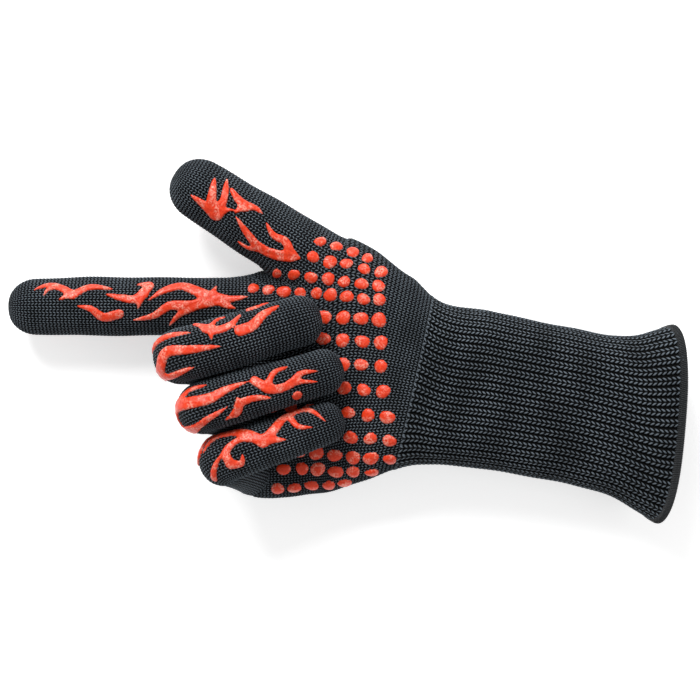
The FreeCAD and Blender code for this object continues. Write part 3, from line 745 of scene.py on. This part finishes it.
def print_piece(finger, index):
    """The flames printed on one stretch of a finger, on its back and on its palm side."""
    knuckle = finger.knuckles[index]
    low, high = finger.cuts()[index:index + 2]
    curled = finger.name in CURLED
    first = finger.stops[1] if curled else 0.0
    skin_q = np.arange(-finger.back_reach, finger.end, FINE)
    skin = skin_q + sum(BACK_STRETCH * finger.radii[0] * k.bend * smooth((skin_q - k.along) / k.span + 0.5)
                        for k in finger.knuckles)
    skin = skin - np.interp(first, skin_q, skin)
    ends = np.interp((low, high), skin_q, skin)
    if index == 0 and not curled:
        ends[0] = max(ends[0], PRINT_START)
    meshes = []
    for side, back in ((BACK_FLAMES, True), (PALM_FLAMES, False)):
        flames = side.get(finger.name) or plain_flames(finger.name)
        a = np.linspace(*ends, max(3, int((ends[1] - ends[0]) / PRINT_STEP)))[:, None]
        c = np.arange(-PRINT_REACH, PRINT_REACH + 0.1, PRINT_STEP)[None, :]
        a, c = np.broadcast_arrays(a, c)
        a, c = a.copy(), c.copy()
        field = flame_field(flames, a, c)
        keep = np.zeros(field.shape, bool)
        inside = field < 0
        cell = inside[:-1, :-1] | inside[1:, :-1] | inside[:-1, 1:] | inside[1:, 1:]
        for i in range(2):
            for j in range(2):
                keep[i:len(keep) - 1 + i, j:keep.shape[1] - 1 + j] |= cell
        slope_a, slope_c = np.gradient(field, a[1, 0] - a[0, 0], PRINT_STEP)
        steep = np.maximum(slope_a**2 + slope_c**2, 0.3)
        outside = keep & ~inside
        move_a, move_c = (np.clip(field * g / steep, -0.7, 0.7) * outside for g in (slope_a, slope_c))
        move_a[[0, -1]] = 0
        a, c = a - move_a, c - move_c
        rise = np.clip(-field / PRINT_EDGE, 0, 1)
        height = np.where(outside, -0.45, 0.1 + PRINT_HEIGHT * np.sqrt(1 - (1 - rise) ** 2))
        height = height + 0.14 * rise * np.sin(a * 1.3 + c * 0.7) * np.sin(c * 1.1 - a * 0.5)
        q = np.interp(a, skin, skin_q)
        along, radius = finger.profile(q)
        turned = c / np.maximum(radius, 4.0)
        angle = turned if back else math.pi - turned
        keep &= np.abs(turned) < PRINT_TURN
        cells = cell & keep[:-1, :-1] & keep[1:, :-1] & keep[:-1, 1:] & keep[1:, 1:]
        straight, flat = settle(finger, index, knuckle, along, angle, radius + height)
        faces = quads(*field.shape)[cells.ravel()]
        used, faces = np.unique(faces, return_inverse=True)
        faces = faces.reshape(-1, 4)
        uv = np.stack([a, c], 2).reshape(-1, 2)
        meshes.append((straight.reshape(-1, 3)[used], flat[used], uv[used], faces))
    count = len(meshes[0][0])
    straight, flat, uv = (np.concatenate([m[i] for m in meshes]) for i in range(3))
    faces = np.concatenate([meshes[0][3], meshes[1][3] + count])
    if not len(faces):
        return None
    segment = segment_name(knuckle)
    made = make_mesh(f"{finger.name}_{segment}_print", straight, faces,
                     straight_out(knuckle, straight), uv, SILICONE)
    node = f"{finger.name}_{segment}_flames"
    return carry(made, "silicone", [node] if node in frame["nodes"] else [], knuckle=knuckle, rest=flat)


def surface_tree(pieces):
    """What a dot is laid on: the resting surfaces of some pieces, as one tree in metres."""
    points, faces = [], []
    for piece in pieces:
        first = len(points)
        points += [v.co.copy() for v in piece.data.vertices]
        faces += [[first + i for i in f.vertices] for f in piece.data.polygons]
    return BVHTree.FromPolygons(points, faces)


def dot_places(rows):
    """Where the dots of some rows are, each a little off its place as printed dots are."""
    shake = np.random.default_rng(5)
    places = []
    for x0, y0, x1, y1, count in rows:
        for t in np.linspace(0, 1, count):
            places.append((x0 + (x1 - x0) * t, y0 + (y1 - y0) * t) + shake.normal(0, 0.3, 2))
    return places


def dot_holder(x, y):
    """What a dot on the palm side is printed on. One that reaches past the hand is on the wrist."""
    if y > THUMB_ROOT_Y:
        return "thumb"
    return "wrist" if x - tilt(x) * (y - TILT_Y) > PALM_START - 2 else "hand"


def dot(tree, place, size, up):
    """A domed drop of silicone laid on the knit above (up 1) or below (up -1) a place."""
    rings, spokes = 7, 24
    share = np.linspace(0, 1, rings)
    around = np.arange(spokes) * 2 * math.pi / spokes
    wobble = 1 + 0.07 * np.sin(2 * around + place[0]) + 0.04 * np.sin(3 * around + place[1])
    dx = (DOT_RADII[0] * size * share[:, None] * wobble * np.cos(around)).ravel()
    dy = (DOT_RADII[1] * size * share[:, None] * wobble * np.sin(around)).ravel()
    heights, fitted = [], []
    for x, y in zip(dx, dy):
        hit = tree.ray_cast(Vector((place[0] + x, place[1] + y, 75 * up)) * MM, Vector((0, 0, -up)))[0]
        if hit is not None:
            heights.append(hit.z / MM)
            fitted.append((1, x, y, x * x, x * y, y * y))
    if len(heights) < 100:
        return None
    fit = np.linalg.lstsq(np.array(fitted), np.array(heights), rcond=None)[0]
    dx, dy = dx / math.hypot(1, fit[1]), dy / math.hypot(1, fit[2])
    z = np.stack([np.ones_like(dx), dx, dy, dx * dx, dx * dy, dy * dy], 1) @ fit
    slope = np.array([-fit[1], -fit[2], 1.0]) * up
    normal = unit(slope)
    t = np.repeat(share, spokes)
    rise = np.where(t == 1, -0.4, 0.2 + 1.25 * PRINT_HEIGHT * (1 - t**2.6))
    rise = rise + 0.06 * np.sin(dx * 2.1 + place[0]) * np.sin(dy * 1.7 + place[1]) * (t < 1)
    points = np.stack([place[0] + dx, place[1] + dy, z], 1) + normal * rise[:, None]
    ring = np.arange(spokes)
    faces = [np.stack([r * spokes + ring, r * spokes + (ring + 1) % spokes,
                       (r + 1) * spokes + (ring + 1) % spokes, (r + 1) * spokes + ring], 1)
             for r in range(rings - 1)]
    uv = np.stack([place[0] + dx, place[1] + dy], 1)
    return points, np.concatenate(faces), np.broadcast_to(normal, points.shape), uv


def dot_piece(name, tree, places, up, nodes, **carried):
    """Several dots as one piece."""
    shake = np.random.default_rng(11)
    sizes = [shake.uniform(*DOT_SIZES) * (SMALL_DOT if y > SMALL_DOT_Y else 1) for _, y in places]
    parts = [dot(tree, place, size, up) for place, size in zip(places, sizes)]
    parts = [part for part in parts if part is not None]
    firsts = np.cumsum([0] + [len(part[0]) for part in parts[:-1]])
    points, out, uv = (np.concatenate([part[i] for part in parts]) for i in (0, 2, 3))
    faces = np.concatenate([part[1] + first for part, first in zip(parts, firsts)])
    points[:, 2] = np.maximum(points[:, 2], 0.02)
    made = make_mesh(name, points, faces, out, uv, SILICONE)
    return carry(made, "silicone", nodes, rest=points, **carried)


# Hand and cuff.

def section_angles(xi, shares, power):
    """Angles round a section at equal shares of its length, from the middle of the back."""
    a = np.linspace(-math.pi / 2, 1.5 * math.pi, 1441)
    width = (thumb_edge(xi) - little_edge(xi)) / 2
    y = np.sign(np.cos(a)) * np.abs(np.cos(a)) ** (2 / power) * width
    z = np.sign(np.sin(a)) * np.abs(np.sin(a)) ** (2 / power) * half_height(xi)
    length = np.concatenate([[0], np.cumsum(np.hypot(np.diff(y), np.diff(z)))])
    return np.interp(shares * length[-1], length, a)


def sleeve_power(xi):
    """How boxy a section is: 2 is an ellipse. The hand is boxier than the cuff."""
    return 2.8 - 0.35 * smooth((xi - 30) / 40)


def sleeve(xi, shares, inset=None):
    """Points on the hand and cuff and the way out, for a grid of stations and shares of the way round."""
    inset = np.zeros(xi.shape) if inset is None else inset
    stations = np.linspace(xi.min() - 0.01, xi.max() + 0.01, 80)
    samples = np.linspace(0, 1, 721)
    angles = np.stack([section_angles(x, samples, sleeve_power(x)) for x in stations])
    row = (xi - stations[0]) / (stations[1] - stations[0])
    i = np.clip(row.astype(int), 0, len(stations) - 2)
    column = np.clip(shares, 0, 1) * (len(samples) - 1)
    j = np.clip(column.astype(int), 0, len(samples) - 2)
    fi, fj = row - i, column - j
    a = ((angles[i, j] * (1 - fj) + angles[i, j + 1] * fj) * (1 - fi)
         + (angles[i + 1, j] * (1 - fj) + angles[i + 1, j + 1] * fj) * fi)
    power = sleeve_power(xi)
    c = np.sign(np.cos(a)) * np.abs(np.cos(a)) ** (2 / power)
    s = np.sign(np.sin(a)) * np.abs(np.sin(a)) ** (2 / power)
    x = xi.copy()
    end_share = smooth((8 - xi) / 50)
    past = np.clip((PALM_TURN - xi) / PALM_CAP, 0, 1)
    slant = smooth((xi - 70) / (MOUTH - 70)) * MOUTH_SLANT
    for _ in range(4):
        high, low, half = thumb_edge(x), little_edge(x), half_height(x)
        middle, width = (high + low) / 2, (high - low) / 2
        close = np.sqrt(np.clip(1 - past**2, 0, 1))
        y = middle + (width - inset) * c * (0.9 + 0.1 * close)
        z = LIE + half + (half - inset) * s * close
        x = (xi + tilt(xi) * (y - TILT_Y) + end_share * (palm_end(y) - PALM_TURN + 13)
             + slant * (z - MOUTH_HEIGHT))
    out = np.stack([np.zeros(xi.shape), c * half, s * width], -1)
    return np.stack([x, y, z], -1), unit(out + 1e-6)


def sleeve_piece(name, kind, span, turns, nodes, body=None, knuckle=None):
    """A piece of the hand or cuff, over a span of stations and between two shares of the way round."""
    if kind == "rib":
        count, step, pitch, shear, material, slot = RIBS, RIB_STEPS, RIB_COURSE, RIB_SHEAR, RIB, "cuff_knit"
        columns = rib_columns(count)
    else:
        count, step, pitch, shear, material, slot = PALM_WALES, WALE_STEPS, COURSE, SHEAR, KNIT, "knit"
        columns = stitch_columns(count)
    first, last = (int(round(t * count * step)) for t in turns)
    columns = columns[first:last + 1]
    courses = max(2, round(abs(span[1] - span[0]) / pitch))
    rows = courses * STEPS + 1
    toward_mouth = 1.0 if span[1] > span[0] else -1.0
    v = np.arange(rows)[:, None] / STEPS - toward_mouth * shear * np.abs(columns)[None, :]
    share = v / courses
    xi = span[0] + (span[1] - span[0]) * share
    xi = np.clip(xi, PALM_TURN - PALM_CAP, MOUTH)
    u = np.arange(first, last + 1) / step
    shares = np.broadcast_to(u / count, xi.shape)
    points, out = sleeve(xi, shares)
    relief = rib_relief(columns, rows) if kind == "rib" else stitch_relief(columns, rows)
    flat, ways = points.reshape(-1, 3), out.reshape(-1, 3)
    flat = flat + ways * (relief.reshape(-1) + lumps(flat))[:, None]
    if body == "hand":
        plain = flat
        for finger in fingers.values():
            flat = fillet(flat, ways, *tube_distance(finger, flat), FILLETS[finger.name])
        flat = plain + (flat - plain) * smooth((PALM_START - xi.reshape(-1, 1)) / FILLET_FADE)
    flat[:, 2] = np.maximum(flat[:, 2], 0.3)
    uv = np.stack([np.broadcast_to(u, xi.shape), toward_mouth * -v], 2).reshape(-1, 2)
    made = make_mesh(name, flat, quads(rows, len(columns)), ways, uv, material)
    return carry(made, slot, nodes, body=body, knuckle=knuckle, rest=flat)


class Wrist(Knuckle):
    """The wrist's joint, for the knit that turns over it."""

    def __init__(self):
        joint = JOINTS["wrist"]
        self.centre = np.array(joint["pos_m"]) / MM
        self.parent, self.child = joint["parent"], joint["child"]
        self.before = unit(np.cross(joint["axis"], (0, 0, 1)))
        self.span = WRIST_SPAN


wrist = Wrist()


def lining_sleeve():
    """The cotton lining of the hand."""
    xi = np.linspace(PALM_START, PALM_TURN - 13, 40)[:, None] + np.zeros(81)
    shares = np.broadcast_to(np.linspace(0, 1, 81), xi.shape)
    points, out = sleeve(xi, shares, np.full(xi.shape, LINER_INSET))
    uv = np.stack([shares * PALM_WALES, -xi / COURSE], 2).reshape(-1, 2)
    made = make_mesh("palm_lining", points.reshape(-1, 3), quads(*xi.shape), out.reshape(-1, 3), uv, COTTON)
    return carry(made, "liner", ["palm_liner"], body="hand")


def cuff_inside():
    """The rib's inner face, seen in the cuff's mouth."""
    columns = rib_columns(RIBS, 4)
    xi = np.linspace(CUFF_START, MOUTH - 0.5, 60)[:, None] + np.zeros(len(columns))
    u = np.arange(len(columns)) / 4
    shares = np.broadcast_to(u / RIBS, xi.shape)
    groove = np.broadcast_to(np.abs(columns) * 2, xi.shape)
    points, out = sleeve(xi, shares, RIB_INSET[0] + RIB_INSET[1] * groove)
    uv = np.stack([np.broadcast_to(u + 0.5, xi.shape), -xi / RIB_COURSE], 2).reshape(-1, 2)
    made = make_mesh("cuff_inside", points.reshape(-1, 3), quads(*xi.shape), -out.reshape(-1, 3), uv, RIB)
    return carry(made, "cuff_knit", [], body="cuff")


def overlock():
    """Thread wrapped over the cuff's edge, in slanted turns."""
    turns, steps, loops = 276, 4, 14
    around = np.arange(turns * steps + 1) / (turns * steps)
    u = around * turns
    wrap = np.linspace(0, 1, loops)
    lean = wrap[:, None] * 1.2
    bend = np.interp(wrap, (0, 0.38, 0.5, 0.62, 1), (0, 1, 1.25, 1, 0))
    back = np.interp(wrap, (0, 0.38, 0.5, 0.62, 1), (3.6, 0.4, -0.5, 0.4, 3.6))
    depth = np.interp(wrap, (0, 0.05, 0.38, 0.5, 0.62, 0.95, 1), (-0.3, 0.55, 0.75, -0.9, -2.5, -2.4, -1.2))
    ridge = np.abs(np.sin(math.pi * (u[None, :] + lean))) * 0.4
    xi = MOUTH - back[:, None] + np.zeros(len(u))
    shares = np.broadcast_to(around, xi.shape)
    points, out = sleeve(xi, shares, -depth[:, None] + np.zeros(len(u)))
    across = np.where(wrap < 0.5, 1.0, -1.0)[:, None, None] * out
    tip = np.array([1.0, 0.0, 0.0]) * (bend[:, None, None] > 1.1)
    points = points + unit(across + 2 * tip) * ridge[..., None]
    points[..., 2] = np.maximum(points[..., 2], 0.2)
    uv = np.stack([np.broadcast_to(u, xi.shape), np.broadcast_to(-lean, xi.shape)], 2).reshape(-1, 2)
    made = make_mesh("cuff_overlock", points.reshape(-1, 3), quads(loops, len(u)),
                     (across + tip).reshape(-1, 3), uv, OVERLOCK)
    return carry(made, "overlock", ["cuff_binding"], body="cuff")


# Building, with the camera and the light first.

def studio():
    """Camera over the palm, soft lamps and a pale floor."""
    scene = bpy.context.scene
    scene.view_settings.view_transform = "Standard"
    camera = bpy.data.objects.new("camera", bpy.data.cameras.new("camera"))
    camera.data.lens = LENS
    camera.data.clip_start, camera.data.clip_end = 0.05, 10
    camera.location = CAMERA_PLACE
    scene.collection.objects.link(camera)
    scene.camera = camera

    for name, place, size, energy in LAMPS:
        lamp = bpy.data.lights.new(name, "AREA")
        lamp.size, lamp.energy = size, energy
        lit = bpy.data.objects.new(name, lamp)
        lit.location = place
        lit.rotation_mode = "QUATERNION"
        lit.rotation_quaternion = (-Vector(place)).to_track_quat("-Z", "Y")
        scene.collection.objects.link(lit)

    world = bpy.data.worlds.new("studio")
    world.use_nodes = True
    background = world.node_tree.nodes["Background"]
    background.inputs["Color"].default_value = (1, 1, 1, 1)
    background.inputs["Strength"].default_value = WORLD_LIGHT
    scene.world = world

    bpy.ops.mesh.primitive_plane_add(size=FLOOR_SIZE, location=(0, 0, 0))
    floor = bpy.context.object
    floor.name = "floor"
    floor.data.materials.append(floor_material())


studio()

sleeves = {}
for finger in fingers.values():
    for index in range(len(finger.knuckles)):
        sleeves[finger.name, index] = tube_piece(finger, index)
        liner_piece(finger, index)
        print_piece(finger, index)

hand = (PALM_START, PALM_TURN - PALM_CAP)
palm_front = sleeve_piece("palm_front_knit", "plain", hand, (0.25, 0.75), ["palm_knit"], body="hand")
palm_back = [sleeve_piece("palm_back_near_knit", "plain", hand, (0, 0.25), ["palm_knit"], body="hand"),
             sleeve_piece("palm_back_far_knit", "plain", hand, (0.75, 1), ["palm_knit"], body="hand")]
wrist_plain = sleeve_piece("wrist_plain_knit", "plain", (SEAM, PALM_START), (0, 1), ["wrist_knit"],
                           knuckle=wrist)
sleeve_piece("wrist_rib", "rib", (SEAM - SEAM_LAP, CUFF_START), (0, 1), ["wrist_knit"], knuckle=wrist)
sleeve_piece("cuff_rib", "rib", (CUFF_START, MOUTH), (0, 1), ["cuff_knit"], body="cuff")
lining_sleeve()
cuff_inside()
overlock()

top = surface_tree([palm_front, sleeves["thumb", 0], sleeves["index", 0], wrist_plain])
dots_of = {"thumb": [], "wrist": [], "hand": []}
for place in dot_places(DOT_ROWS):
    dots_of[dot_holder(*place)].append(place)
dot_piece("palm_print", top, dots_of["hand"], 1, ["palm_dots"], body="hand")
dot_piece("thumb_root_print", top, dots_of["thumb"], 1, [], knuckle=fingers["thumb"].knuckles[0])
dot_piece("wrist_print", top, dots_of["wrist"], 1, [], knuckle=wrist)
dot_piece("back_print", surface_tree(palm_back), dot_places(BACK_DOT_ROWS), -1, ["back_dots"], body="hand")
